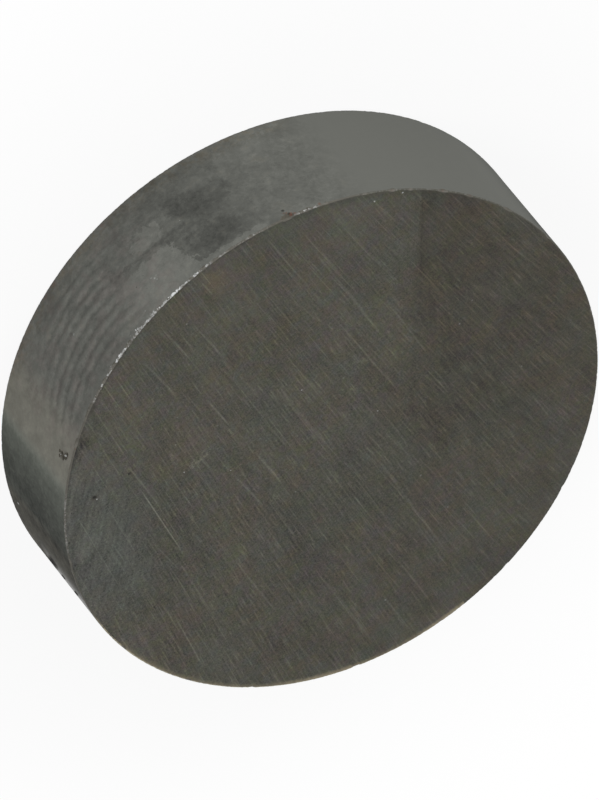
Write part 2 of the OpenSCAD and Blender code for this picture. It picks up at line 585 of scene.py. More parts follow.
# Pale scuffs on the upper face: from, to, width, strength.
FACE_SCUFFS = [
    ((3.3, -3.34), (4.5, -3.16), 0.22, 0.8), ((2.85, -1.82), (3.25, -1.95), 0.08, 0.35),
    ((4.75, -3.25), (5.15, -3.2), 0.07, 0.3), ((2.5, 0.3), (3.05, 0.45), 0.2, 0.5),
    ((6.5, -4.1), (7, -4.25), 0.1, 0.22), ((-0.3, -0.6), (1.1, -1.6), 0.05, 0.25),
]
# Smudges on the upper face: middle, radius, change of tone.
FACE_SMUDGES = [
    ((7, -7.2), 0.6, -0.35), ((6.5, -7.1), 0.35, -0.2), ((9.4, -2.9), 0.45, -0.4),
    ((9.5, -4), 0.35, -0.4), ((9, -5), 0.4, -0.28), ((8.6, -3.5), 0.55, 0.2),
    ((-5.6, 3.5), 0.22, 0.24), ((-8.3, -4.4), 0.4, -0.14), ((-4.7, 0.6), 0.6, -0.16),
    ((-7.3, -5.7), 0.5, -0.16), ((0.5, 0.3), 0.55, 0.1), ((-6.6, 0.6), 0.5, 0.12),
    ((5.7, 4.6), 0.4, 0.14), ((1, -4.1), 0.5, 0.1), ((7.9, 0.9), 0.45, -0.14), ((1, 9), 0.6, -0.16),
    ((7, -4.6), 0.45, 0.16),
]
# Painted shade in the pits of the upper face, and painted glints on it: middle and radius.
FACE_PITS = [((7.41, -4.91), 0.075), ((6.02, -4.75), 0.045), ((8.33, -5.03), 0.03)]
FACE_GLINTS = [
    ((-6.1, -7.43), 0.04), ((-7.02, -6.93), 0.028), ((-0.25, -2.75), 0.024), ((-1.8, 0.25), 0.022),
    ((7.38, -4.8), 0.028), ((4.55, -3.22), 0.022), ((3.3, -1.92), 0.02),
]
# Rusty spots on the upper face: middle, radius, strength.
FACE_RUST = [
    ((-0.25, -9.15), 0.6, 0.34), ((1.7, -9.2), 0.9, 0.18), ((-1.9, -8.6), 0.3, 0.2),
    ((-7.2, -5.9), 0.4, 0.2),
]

# The duller, browner side of the upper face fans out from a point on the rim, to the left of
# this bearing.
DULL_START = (-7.6, -6.5)
DULL_BEARING = 56
# The rubbed patch of the upper face: middle and half sizes, and the way its scores run.
RUBBED = ((8.7, -4), (2.8, 4.7))
SCORES_TURN = 48
# The grinding fans out a little: the share by which it widens over a millimetre.
LAY_FAN = 0.013
LOWER_LAY_TURN = 35
# The marks of the upper face that follow its rim: start and end angle, softness, and strength.
# The lines are painted shade on the chipped bevel inside the rim, and the fringe is painted light
# along the far rim's edge.
RIM_LINES = [(-104, -58, 4), (-51, -38, 3)]
RIM_LINE_TONE = -0.42
RIM_DIM = (-153, -108, 6)
RIM_DIM_TONE = -0.24
FRINGE = (8, 98, 5)
FRINGE_STRENGTH = 0.22
FRINGE_STRONGER = [((50, 66, 4), 0.3), ((80, 96, 4), 0.35)]

# Tone of the wall by angle, as a share of its plain tone: partly its own mottling, and partly
# painted reflection and shade, the light and dark bands that the glossy wall mirrors and the
# bright sheen beside the outline.
WALL_TONES = [
    (-270, 0.95), (-258, 1.04), (-246, 0.78), (-236, 0.95), (-222, 0.82), (-208, 1), (-196, 0.94),
    (-186, 0.8), (-179, 0.68), (-174, 0.84), (-164, 1.02), (-129, 1.1), (-121, 1.04), (-111, 1.01),
    (-105, 0.91), (-100, 0.8), (-95, 0.77), (-91, 0.88), (-80, 1), (-72, 1.02), (-64, 0.99),
    (-54, 1.03), (-44, 1.42), (-37.5, 1.48), (-33.5, 0.84), (-28, 0.54), (-22, 0.37), (-16, 0.44),
    (-11, 0.5), (-2, 0.64), (6, 0.74), (16, 0.88), (27, 1.06), (41, 0.8), (55, 1), (66, 0.84),
    (78, 1.05), (90, 0.95),
]
# The bright patch under the upper rim is painted reflection: the angle at which its leaning edge
# starts, the lean in degrees a millimetre, how far down it reaches, and where it fades out.
REFLECTION_START = -92.6
REFLECTION_LEAN = 1.7
REFLECTION_FOOT = 2.08
REFLECTION_FADE = (-84, -71)
# The bright band of painted reflection that runs on along the rim: its ends and its foot.
RIM_BAND = (-106, -90)
RIM_BAND_FOOT = 0.27
FOOT_SOFT = 0.06
# Lighter and darker patches of the wall, partly its own mottling and partly painted reflection
# and shade: middle, half width and half height in millimetres, softness of the outline, change of
# tone. The middle is an angle and a distance below the upper face.
WALL_PATCHES = [
    ((-86.4, 2.9), 0.62, 0.46, 0.06, 0.27), ((-90.2, 3.22), 0.3, 0.18, 0.06, 0.2),
    ((-93.6, 2.55), 0.16, 0.14, 0.05, 0.18), ((-83.2, 3.3), 0.12, 0.22, 0.05, 0.16),
    ((-62.8, 2.62), 0.55, 0.1, 0.12, 0.16), ((-74, 2.55), 0.22, 0.07, 0.08, 0.16),
    ((-71, 3.72), 0.45, 0.09, 0.09, 0.14), ((-77.4, 3.88), 0.3, 0.07, 0.08, 0.18),
    ((-77, 4.3), 0.32, 0.07, 0.08, 0.12), ((-114, 0.05), 0.7, 0.16, 0.1, 0.12),
    ((-112, 3.9), 0.8, 0.5, 0.3, 0.08), ((-107, 4), 0.18, 0.4, 0.1, 0.1),
    ((-97, 1), 0.95, 0.72, 0.14, -0.12), ((-100.5, 0.85), 0.7, 0.45, 0.2, -0.08),
    ((-99, 2.9), 1.05, 0.62, 0.18, -0.11), ((-94.2, 3.05), 0.32, 0.42, 0.1, -0.1),
    ((-91.5, 1.75), 0.36, 0.4, 0.08, -0.12), ((-84.5, 3.22), 0.2, 0.14, 0.05, -0.18),
    ((-80, 3.2), 0.8, 0.6, 0.4, -0.06), ((-64, 0.8), 0.9, 0.45, 0.6, -0.08),
    ((-178, 0.5), 1, 0.9, 0.7, -0.22), ((20, 0.7), 1, 0.8, 0.12, 0.26),
    ((64, 3.2), 0.8, 1, 0.2, 0.24), ((-232, 2.3), 1, 1.2, 0.15, 0.22),
    ((-211, 4.3), 0.9, 0.7, 0.15, 0.2), ((-246, 1.2), 0.8, 0.7, 0.3, -0.22),
    ((40, 2.6), 0.7, 1.2, 0.3, -0.2),
]
# A dark line under the bright patch: its two ends, as angle and down.
WALL_LINE = ((-96.5, 2.22), (-74, 2.56))
# Painted glints on the wall: angle, down, size, strength.
WALL_GLINTS = [
    (-83, 1.2, 0.05, 0.22), (-82.5, 1.32, 0.035, 0.18), (-83.6, 1.26, 0.03, 0.18),
    (-83.3, 1.08, 0.03, 0.15), (-93.7, 2.55, 0.025, 0.2), (-16.6, 4.27, 0.06, 0.7),
    (-43.1, 0.5, 0.05, 0.6), (-42.4, 0.77, 0.045, 0.5), (-77.6, 0.42, 0.025, 0.2),
    (-63.2, 2.6, 0.04, 0.15),
]
# Hollows of the wall that lie in their own shadow: angle, down, size, strength.
WALL_NICKS = [
    (-42.3, 0.54, 0.06, 0.55), (-43.9, 0.37, 0.05, 0.5), (-43.2, 0.34, 0.055, 0.55),
    (-42.9, 0.72, 0.055, 0.55), (-43.8, 0.52, 0.045, 0.45), (-42, 0.68, 0.045, 0.45),
    (-42.6, 0.62, 0.05, 0.5), (-42.8, 0.4, 0.04, 0.45), (-80.6, 1.1, 0.03, 0.5),
    (-81.6, 1.68, 0.03, 0.4), (-79.2, 1.52, 0.03, 0.4), (-110.6, 0.42, 0.07, 0.7),
    (-111.2, 0.2, 0.05, 0.55), (-111.9, 0.11, 0.03, 0.45),
]
# Painted shade of notches at the outline, as dark streaks that cross the wall on a slant: two
# ends as angle and down, width.
WALL_NOTCH_SHADES = [
    ((1.5, 4.23), (-11, 1.95), 0.36), ((1, 3.26), (-7.5, 1.71), 0.14),
    ((1, 2.25), (-8, 0.61), 0.13), ((0.5, 4.78), (-5.5, 3.69), 0.08),
    ((0.5, 5), (-5.5, 4.16), 0.07),
]
# Rusty specks on the wall: angle, down, size, strength.
WALL_RUST = [
    (-111.5, 0.14, 0.07, 0.6), (-110.9, 0.26, 0.06, 0.5), (-110.4, 0.3, 0.05, 0.4),
    (-112.2, 0.09, 0.06, 0.45), (-117.5, 0.09, 0.07, 0.45), (-133, 0.02, 0.06, 0.12),
    (-144.5, 0.03, 0.07, 0.15), (-151, 0.02, 0.06, 0.12), (-161, 0.02, 0.06, 0.1),
    (-46.5, -0.02, 0.06, 0.25), (-66.5, 4.84, 0.15, 0.16), (-63.5, 4.88, 0.12, 0.14),
    (-81.5, 4.84, 0.09, 0.16), (-75, 4.9, 0.1, 0.12),
]
# Painted highlights along the upper rim: start and end angle, reach from the corner, strength.
RIM_GLINTS = [
    (-163, -125, 0.05, 0.08), (-116.8, -112.3, 0.08, 0.48), (-106, -93, 0.06, 0.25),
    (-93, -86, 0.09, 0.75), (-86, -79, 0.1, 1), (-79.5, -77.5, 0.14, 0.55), (-77.5, -72, 0.14, 1),
    (-72, -65, 0.11, 0.95), (-65, -60, 0.08, 0.75), (-58.6, -57.4, 0.08, 0.7),
    (-36, -22, 0.08, 0.23),
]

# The mottling of the wall stops over the first span of angle and comes back over the second.
SMOOTH_SIDE = ((-206, -176), (-130, -120))
# Stretches of the wall by angle: start, end and softness. The dark bands are streaked along the
# axis, and lower down the tone changes by the given amounts.
STREAKED = [(-37, -14, 2), (-106, -92, 3)]
LOW_TONES = [((-36, -16, 2), 0.1), ((-92, -62, 3), -0.08), ((-104, -94, 3), 0.06)]
# The warm and sheen bands tint painted reflections: a bright band, and the sheen by the outline.
WARM_BAND = (-50, -35.5, 4)
SHEEN_BAND = (-22, 10, 5)
# The cool band tints a painted dark reflection.
COOL_BAND = (-37, -20, 2)
MAUVE_BAND = (-87, -44, 5)
STAIN_BAND = (-122, -46, 6)
GLOSSY_BAND = (-3, 60, 7)
# Stretches of the rims: the pale one, painted light along the far rim's edge, the one outside
# which they are dark, and a dusky one.
RIM_PALE = (-2, 88, 5)
RIM_PLAIN = (-124, 97, 5)
RIM_DUSKY = (-24, -3, 3)


# ---------------- ferrite materials

FERRITE_IOR = 1.5
FACE_SPECULAR = 0.3
WALL_SPECULAR = 0.12
RIM_SPECULAR = 0.4
FACE_RELIEF = 0.006
WALL_RELIEF = 0.008
RIM_RELIEF = 0.02

FACE_TONE = srgb(71, 70, 61)
FACE_OLIVE = srgb(70, 73, 55)
FACE_MAUVE = srgb(73, 67, 66)
FACE_GREY = srgb(67, 72, 68)
FACE_WARM = srgb(79, 69, 55)
FACE_COOL = srgb(66, 71, 64)
FACE_RUBBED = srgb(73, 77, 74)
WHITE = (1, 1, 1, 1)
DULL_SHADE = (0.73, 0.69, 0.65, 1)
WALL_TONE = srgb(100, 101, 96)
WALL_WARM = srgb(102, 100, 91)
WALL_COOL = srgb(97, 101, 94)
WALL_MAUVE = srgb(106, 97, 94)
BROKEN_TONE = srgb(84, 81, 73)
PIT_TONE = srgb(62, 60, 53)
SCRATCH_TONE = srgb(150, 150, 140)
# Painted shade inside pits, nicks and the notches at the outline.
HOLLOW_SHADE = srgb(20, 19, 16)
GLINT_TONE = srgb(222, 224, 224)
RUST_TONE = srgb(104, 66, 52)
STAIN_TONE = srgb(98, 84, 58)
FRINGE_TONE = srgb(176, 164, 134)
RIM_LIGHT = srgb(168, 158, 130)
RIM_DARK = srgb(57, 56, 45)
# Painted shade on the lower rim, which faces the floor.
RIM_FOOT_SHADE = srgb(46, 44, 39)

# Faint patches of colour in the ground faces: tone, scale, place in the noise, strength.
FACE_PATCHES = [
    (FACE_OLIVE, 1.2, 0, 0.9), (FACE_MAUVE, 1.3, 31, 0.9), (FACE_GREY, 2.2, 57, 0.6),
    (FACE_WARM, 2.3, 80, 0.45), (FACE_OLIVE, 4.6, 95, 0.55), (FACE_MAUVE, 5, 120, 0.5),
    (FACE_WARM, 0.6, 140, 0.24), (FACE_COOL, 0.45, 160, 0.34),
]


def capsule(g, x, y, start, end, width):
    """1 on a line between two points, fading over its width and towards both of its ends."""
    (ax, ay), (bx, by) = start, end
    dx, dy = bx - ax, by - ay
    length = math.hypot(dx, dy)
    along, across = g.turned(x - ax, y - ay, dx / length, dy / length)
    body = g.fade(g.math("ABSOLUTE", across), width * 0.2, width)
    return body * g.band(along, length * 0.12, length * 0.88, length * 0.12)


def blob(g, x, y, middle, radius, ragged):
    """1 in the middle of a spot, fading to 0 past its radius, with an uneven outline."""
    away = g.reach(x - middle[0], y - middle[1])
    return g.fade(away + ragged * radius, radius * 0.45, radius * 1.1)


def lay_noise(g, across, along, fineness, stretch, seed, detail=2):
    """Noise drawn out along the grinding: lines 1 / fineness apart and 1 / stretch long."""
    place = g.combine(across * fineness, along * stretch, seed)
    return g.noise(place, 1, detail)


def lay_scratches(g, across, along, seed):
    """Scattered light scratches, each a few millimetres long."""
    fine = g.smooth(lay_noise(g, across, along, 11, 0.22, seed, 1), 0.62, 0.72)
    wide = g.smooth(lay_noise(g, across, along, 5, 0.18, seed + 3.7), 0.62, 0.74)
    return fine * 0.46 + wide * 0.16


def peaked(g, value, amount, peaks):
    """Noise spread about its middle, with its highest places standing out light."""
    return g.spread(value, amount) + g.smooth(value, 0.58, 0.72) * peaks


def ground_tone(g, p, across, along, seed, held=1, lively=1):
    """What the grinding does to the tone: broken lines at three scales, grain and soft patches.

    Held is the share of the lines that is left, and lively the strength of lines and grain."""
    fine = peaked(g, lay_noise(g, across, along, 14, 1.1, seed, 3), 0.6, 0.4)
    middle = g.spread(lay_noise(g, across, along, 3.6, 0.5, seed + 1, 3), 0.175)
    broad = g.spread(lay_noise(g, across, along, 0.9, 0.1, seed + 2), 0.18)
    strength = g.scaled(g.noise(p, 0.8), 1.4, 0.3)
    lines = (fine + middle + broad) * strength * held
    grain = peaked(g, g.noise(p, 8, 4, 0.8), 0.95, 0.34)
    dust = g.cloud(0.68, p, 17, 1)
    patches = g.cloud(0.5, p, 0.45, 4, 0.6)
    return (lines + grain + dust) * lively + patches - 0.03


def ground_colour(g, p, seed):
    """The plain colour of a ground face, with faint olive, mauve, grey and warm patches."""
    offset = g.vector("ADD", p, (seed * 7.1, 0, seed * 3.3))
    colour = FACE_TONE
    for tone, scale, shift, strength in FACE_PATCHES:
        patch = g.noise(g.vector("ADD", offset, (shift, 0, 0)), scale, 4, 0.62)
        colour = g.layered(colour, tone, g.smooth(patch, 0.46, 0.64), strength)
    return colour


def scattered_specks(g, p, surface, seed, strength):
    """Lays a few tiny painted glints, well apart, over a surface."""
    cells = g.node("ShaderNodeTexVoronoi", voronoi_dimensions="3D", feature="F1")
    inputs = cells.inputs["Vector"], cells.inputs["Scale"]
    distance = g.made(cells, inputs, g.vector("ADD", p, (seed, 0, 0)), 1.4)
    close = g.fade(distance, 0.02, 0.07)
    pick = g.separate(g.output(cells, "Color"))[0]
    specks = close * g.smooth(pick, 0.55, 0.9)
    return g.layered(surface, GLINT_TONE, specks, strength)


def broken_over(g, colour, tone, crumb):
    """A colour with the broken surface of the chips and pits laid over it, crumb its grain."""
    broken = g.output(g.node("ShaderNodeAttribute", attribute_name="broken"), "Fac")
    return g.mix(broken, colour, g.shade(tone, crumb))


def broken_ground(g, colour, p):
    return broken_over(g, colour, PIT_TONE, g.cloud(0.5, p, 16, 3, 0.7))


def finish_ground(g, p, colour, across, along, seed, scratches):
    """The relief and gloss of a ground face."""
    lay = lay_noise(g, across, along, 11, 0.6, seed + 5, 3)
    grain = g.noise(p, 14, 2, 0.6)
    height = lay * 0.7 + grain * 0.7 + scratches * -0.5
    roughness = g.scaled(g.noise(p, 2.2, 3), 0.14, 0.5)
    g.finish(colour, roughness, g.bump(height, FACE_RELIEF), FACE_SPECULAR)


def dull_side(g, x, y, wander):
    """1 on the dull side, and the change of tone in the rays along its edge."""
    beside, ahead = x - DULL_START[0], y - DULL_START[1]
    bearing = g.math("ARCTAN2", ahead, beside) * (180 / math.pi)
    reach = g.reach(beside, ahead)
    uneven = g.scaled(wander, 3.5, bearing)
    softness = g.scaled(reach * reach, 0.26, 1.8)
    past = g.math("DIVIDE", uneven - DULL_BEARING, softness)
    dull = g.smooth(past, -1, 1) * g.scaled(g.smooth(reach, 8, 15), -0.45, 1)
    rays = g.combine(bearing * 0.42, reach * 0.16, 3)
    streaks = g.cloud(0.45, rays, 1, 3, 0.6)
    near = g.fade(reach, 5, 11)
    edge = g.band(bearing, DULL_BEARING - 4, DULL_BEARING + 22, 7)
    dark = g.band(uneven, DULL_BEARING, DULL_BEARING + 7, 2.5) * -0.1
    return dull, (streaks + dark) * near * edge


def rubbed_side(g, x, y, wander):
    """1 on the rubbed patch, and the scores that run across the grinding there."""
    (middle_x, middle_y), (half_x, half_y) = RUBBED
    beside = (x - middle_x) * (1 / half_x)
    ahead = (y - middle_y) * (1 / half_y)
    rubbed = g.fade(g.reach(beside, ahead) + wander * 0.25, 0.5, 1.1)
    turn = math.radians(SCORES_TURN)
    along, across = g.turned(x, y, math.cos(turn), math.sin(turn))
    fine = g.spread(lay_noise(g, across, along, 8, 0.9, 9, 3), 0.75)
    broad = g.spread(lay_noise(g, across, along, 2, 0.3, 12, 3), 0.45)
    return rubbed, fine + broad


def wall_angle(g, x, y):
    """Angle round the disc from -270 to 90, with the seam at +Y."""
    return g.scaled(g.math("ARCTAN2", x, y * -1), 180 / math.pi, -90)


def upper_rim_marks(g, p, x, y, surface):
    """Painted shade as a line inside the chipped rim, and painted light as a fringe on its far
    side.
    """
    angle = wall_angle(g, x, y)
    inset = RADIUS - (g.reach(x, y) + g.cloud(0.1, p, 4.5, 3, 0.65))
    chipped = g.highest(*[g.band(angle, *ends) for ends in RIM_LINES])
    # Painted shade on the chipped bevel inside the rim.
    line = g.fade(inset, 0.06, 0.15) * chipped * RIM_LINE_TONE
    dim = g.fade(inset, 0.05, 0.4) * g.band(angle, *RIM_DIM) * RIM_DIM_TONE
    surface = g.shade(surface, line + dim)
    # Painted light along the far rim's edge, stronger in two stretches.
    worn = total(g.band(angle, *ends) * more for ends, more in FRINGE_STRONGER)
    fringe = g.fade(inset, 0.02, 0.24) * g.band(angle, *FRINGE)
    return g.layered(surface, FRINGE_TONE, fringe, worn + FRINGE_STRENGTH)


def face_marks(g, p, x, y, across, wander, tone, colour):
    """Lays the drawn marks over the upper face. Gives its surface and its scratches."""
    smudges = [blob(g, x, y, m, r, wander) * s for m, r, s in FACE_SMUDGES]
    crumbled = g.smooth(g.noise(p, 8, 3, 0.7), 0.46, 0.6)
    scuffs = [capsule(g, x, y, a, b, w) * crumbled * s for a, b, w, s in FACE_SCUFFS]
    drawn = [capsule(g, x, y, a, b, w) * s for a, b, w, s in FACE_SCRATCHES]
    scratches = total(drawn) * g.scaled(g.noise(p, 4, 3, 0.7), 1.4, 0.3)
    strays = lay_scratches(g, across, y, 21)
    tone = tone + total(smudges) + total(scuffs) + scratches * 0.4 + strays
    surface = g.shade(colour, tone)
    surface = g.layered(surface, SCRATCH_TONE, g.math("MINIMUM", scratches, 2), 0.15)
    surface = broken_ground(g, upper_rim_marks(g, p, x, y, surface), p)
    # Painted shade in the pits.
    for middle, radius in FACE_PITS:
        surface = g.layered(surface, HOLLOW_SHADE, blob(g, x, y, middle, radius, wander), 0.9)
    # Painted glints.
    for middle, radius in FACE_GLINTS:
        surface = g.layered(surface, GLINT_TONE, blob(g, x, y, middle, radius, wander), 0.45)
    return scattered_specks(g, p, surface, 0, 0.14), scratches


def upper_face_material():
    material, g = new_material("ground_upper_face")
    p = g.place()
    x, y, _ = g.separate(p)
    across = x * g.scaled(y, -LAY_FAN, 1)
    wander = g.cloud(1, p, 2.4, 3, 0.6)
    dull, rays = dull_side(g, x, y, wander)
    rubbed, scores = rubbed_side(g, x, y, wander)
    held = rubbed * -0.7 + dull * 0.35 + 1
    lively = g.scaled(x, 0.016, g.scaled(y * y, -0.0035, 1))
    tone = ground_tone(g, p, across, y, 0, held, lively)
    tone = tone + rays + rubbed * (scores + 0.03) + y * -0.004
    colour = g.layered(ground_colour(g, p, 0), FACE_RUBBED, rubbed, 0.5)
    colour = g.vector("MULTIPLY", colour, g.mix(dull, WHITE, DULL_SHADE))
    for middle, radius, strength in FACE_RUST:
        rust = blob(g, x, y, middle, radius, wander)
        colour = g.layered(colour, STAIN_TONE, rust, strength * 0.7)
    surface, scratches = face_marks(g, p, x, y, across, wander, tone, colour)
    finish_ground(g, p, surface, across, y, 0, scratches)
    return material


def lower_face_material():
    material, g = new_material("ground_lower_face")
    p = g.place()
    x, y, _ = g.separate(p)
    turn = math.radians(LOWER_LAY_TURN)
    across, along = g.turned(x, y, math.cos(turn), math.sin(turn))
    tone = ground_tone(g, p, across, along, 40)
    worn = g.smooth(g.noise(p, 0.16), 0.44, 0.62)
    colour = g.vector("MULTIPLY", ground_colour(g, p, 4), g.mix(worn, WHITE, DULL_SHADE))
    strays = lay_scratches(g, across, along, 61)
    surface = g.shade(colour, tone + strays * 1.3)
    surface = broken_ground(g, scattered_specks(g, p, surface, 50, 0.16), p)
    finish_ground(g, p, surface, across, along, 40, strays)
    return material


def wall_place(g, p):
    """Angle round the disc, and down."""
    x, y, z = g.separate(p)
    return wall_angle(g, x, y), TOP - z


def tone_profile(g, value, knots):
    """A number that goes smoothly from knot to knot."""
    level = knots[0][1]
    for (start, first), (end, second) in zip(knots, knots[1:]):
        level = g.scaled(g.smooth(value, start, end), second - first, level)
    return level


def wall_patch(g, angle, down, middle, half_width, half_height, soft, wander):
    """1 inside a patch of the wall, with a ragged outline."""
    across = g.math("ABSOLUTE", angle - middle[0]) * (DEGREE / half_width)
    above = g.math("ABSOLUTE", down - middle[1]) * (1 / half_height)
    reach = g.reach(g.math("POWER", across, 1.5), g.math("POWER", above, 1.5))
    size = min(half_width, half_height)
    ragged = g.scaled(wander, 0.3 / max(size, 0.3), reach)
    return g.fade(ragged, 1 - soft / size, 1 + soft / size)


def reflection_patch(g, angle, down, ragged):
    """1 on the painted reflection: the bright patch under the rim and the band along the rim."""
    left = g.scaled(ragged, 2.5, angle) - g.scaled(down, REFLECTION_LEAN, REFLECTION_START)
    foot = g.fade(g.scaled(ragged, 0.2, down), REFLECTION_FOOT - FOOT_SOFT, REFLECTION_FOOT + FOOT_SOFT)
    patch = g.smooth(left, -0.4, 0.4) * foot * g.fade(angle, *REFLECTION_FADE)
    low = g.fade(g.scaled(ragged, 0.16, down), RIM_BAND_FOOT, RIM_BAND_FOOT + FOOT_SOFT)
    return g.highest(patch, g.band(angle, *RIM_BAND, 2) * low)


def wall_capsule(g, angle, down, start, end, width):
    (at, below), (to, lower) = start, end
    ends = (at * DEGREE, below), (to * DEGREE, lower)
    return capsule(g, angle * DEGREE, down, *ends, width)


def wall_spots(g, angle, down, wander, colour, tone, spots):
    """Lays spots of one tone over a colour of the wall or the rims."""
    across = angle * DEGREE
    for at, below, size, strength in spots:
        spot = blob(g, across, down, (at * DEGREE, below), size, wander)
        colour = g.layered(colour, tone, spot, strength)
    return colour


def rim_glints(g, p, angle):
    """1 on the painted highlights along the upper rim, in crumbs, on rim and wall alike."""
    x, y, z = g.separate(p)
    edge = g.reach(g.reach(x, y) - RADIUS, z - TOP)
    crumbs = g.scaled(g.noise(p, 9, 3, 0.7), 4, -1.25)
    glints = 0
    for start, end, reach, strength in RIM_GLINTS:
        near = crumbs - edge * (1 / reach)
        held = g.smooth(near, 0, 0.5) * g.band(angle, start, end, 0.8) * strength
        glints = g.highest(glints, held)
    sparkle = g.smooth(g.noise(p, 12, 2, 0.6), 0.42, 0.6)
    return glints * g.scaled(sparkle, 0.62, 0.38)


def wall_ripples(g, angle, down, wander):
    """The ripples' crests and troughs, -1 to 1, fading towards their ends."""
    along = (angle - RIPPLE_ANGLE) * DEGREE
    reach = g.reach(along, down + RIPPLE_CENTRE)
    phase = g.scaled(reach, 1 / RIPPLE_PITCH, -RIPPLE_CREST / RIPPLE_PITCH)
    phase = g.scaled(wander, 0.38, phase)
    crest = g.scaled(g.math("COSINE", phase * (2 * math.pi)), 0.5, 0.5)
    wave = g.scaled(g.math("POWER", crest, 0.7), 2, -1.1)
    ends = g.smooth(angle, -78, -74) - g.smooth(angle, -53, -38)
    held = ends * g.smooth(down, 0.2, 1) * g.fade(down, 3.9, 4.6)
    held = held * g.fade(g.scaled(down, 6, angle), -42, -30)
    return wave * held * g.scaled(wander, 1.3, 0.8)


def wall_mottling(g, p, mottled):
    """Clouds and grain of the wall, and both with crisp flakes of tone, as far as it is mottled."""
    clouds = g.cloud(0.38, p, 1.9, 5, 0.68)
    grain = g.cloud(0.22, p, 7, 4, 0.72)
    large = g.smooth(g.noise(p, 1.3, 5, 0.74), 0.5, 0.54) * 0.09
    small = g.smooth(g.noise(p, 3.3, 4, 0.72), 0.52, 0.57) * 0.1
    flakes = large + small - 0.09
    return clouds, grain, (clouds + grain + flakes) * g.scaled(mottled, 0.95, 0.05)


def wall_shading(g, p, angle, down, wander, ragged, mottled, mottling, ripples):
    """The whole change of the wall's tone, as a share, with its painted reflection and shade."""
    slant = (down - 2.5) * g.smooth(angle, -38, -16) * 2.4
    uneven = angle + wander * mottled * 4 + slant
    tone = tone_profile(g, uneven, WALL_TONES) - 1 + mottling
    streaks = g.cloud(0.3, g.vector("MULTIPLY", p, (1, 1, 0.16)), 3.2, 4, 0.6)
    streaked = total(g.band(angle, *ends) for ends in STREAKED)
    tone = tone + streaks * streaked * 0.5
    depth = g.smooth(down, 2.6, 4.2)
    for ends, change in LOW_TONES:
        tone = tone + depth * g.band(angle, *ends) * change
    for middle, half_width, half_height, soft, change in WALL_PATCHES:
        patch = wall_patch(g, angle, down, middle, half_width, half_height, soft, ragged)
        tone = g.scaled(patch, change, tone)
    # Painted reflection under the rim.
    tone = tone + reflection_patch(g, angle, down, ragged) * 0.34
    line = wall_capsule(g, angle, g.scaled(ragged, 0.16, down), *WALL_LINE, 0.13)
    # The ripples are painted into the tone too: painted shading, light on crests, dark in troughs.
    return g.scaled(line, -0.16, tone) + ripples * 0.21


def wall_colour(g, p, angle, down, wander, fine_wander, mottled):
    # The warm bands tint the painted reflections; the rest of the warmth follows the mottling.
    warm = g.band(angle, *WARM_BAND) + g.band(angle, *SHEEN_BAND) * 1.5
    warm = g.highest(warm, g.smooth(wander, 0.1, 0.5) * mottled * 0.6)
    colour = g.layered(WALL_TONE, WALL_WARM, warm, 0.65)
    colour = g.layered(colour, WALL_COOL, g.band(angle, *COOL_BAND), 0.8)
    mauve = g.smooth(g.noise(p, 1.6, 5, 0.7), 0.44, 0.62)
    colour = g.layered(colour, WALL_MAUVE, g.band(angle, *MAUVE_BAND) * mauve, 0.3)
    stain = g.smooth(down, 4, 4.9) * g.smooth(fine_wander, -0.25, 0.35)
    return g.layered(colour, STAIN_TONE, stain * g.band(angle, *STAIN_BAND), 0.3)


def wall_gloss(g, angle, down, notch_shade):
    """The wall is smoother away from the ripples, most of all beside the painted notch shade."""
    glossy = g.band(angle, *GLOSSY_BAND) * 0.22
    polish = g.smooth(angle, -15, -5) * g.fade(down, 2.8, 3.6) * 0.48 * g.fade(angle, 4, 14)
    dry = g.fade(angle, -182, -168) * g.smooth(angle, -200, -186) * 0.18
    roughness = dry + 0.82 - g.highest(glossy, polish)
    return roughness + notch_shade * (1 - roughness)


def wall_material():
    material, g = new_material("pressed_wall")
    p = g.place()
    angle, down = wall_place(g, p)
    wander = g.cloud(1, p, 1.9, 4, 0.62)
    fine_wander = g.cloud(1, p, 5, 3, 0.6)
    jagged = g.cloud(1.35, g.vector("MULTIPLY", p, (1, 1, 0.6)), 5.6, 3, 0.62)
    ragged = wander * 0.8 + fine_wander + jagged
    before, after = SMOOTH_SIDE
    mottled = 1 - (g.smooth(angle, *before) - g.smooth(angle, *after))
    clouds, grain, mottling = wall_mottling(g, p, mottled)
    ripples = wall_ripples(g, angle, down, wander)

    tone = wall_shading(g, p, angle, down, wander, ragged, mottled, mottling, ripples)
    colour = g.shade(wall_colour(g, p, angle, down, wander, fine_wander, mottled), tone)
    colour = broken_over(g, colour, BROKEN_TONE, g.cloud(0.6, p, 16, 3, 0.7))
    # Rust, then painted shade in the hollows, then painted glints.
    marks = [(WALL_RUST, RUST_TONE), (WALL_NICKS, HOLLOW_SHADE), (WALL_GLINTS, GLINT_TONE)]
    for spots, spot_tone in marks:
        colour = wall_spots(g, angle, down, fine_wander, colour, spot_tone, spots)
    # Painted shade of the notches at the outline, as dark streaks on a slant.
    torn = g.scaled(ragged, 0.07, down)
    notch_shade = g.highest(0, *[wall_capsule(g, angle, torn, *notch_streak) for notch_streak in WALL_NOTCH_SHADES])
    colour = g.layered(colour, HOLLOW_SHADE, notch_shade, 0.97)
    # Painted highlights along the upper rim.
    colour = g.layered(colour, GLINT_TONE, rim_glints(g, p, angle), 0.9)

    height = ripples * 0.5 + clouds * mottled * 1.2 + grain * mottled * 0.8
    normal = g.bump(height, WALL_RELIEF)
    g.finish(colour, wall_gloss(g, angle, down, notch_shade), normal, WALL_SPECULAR)
    return material


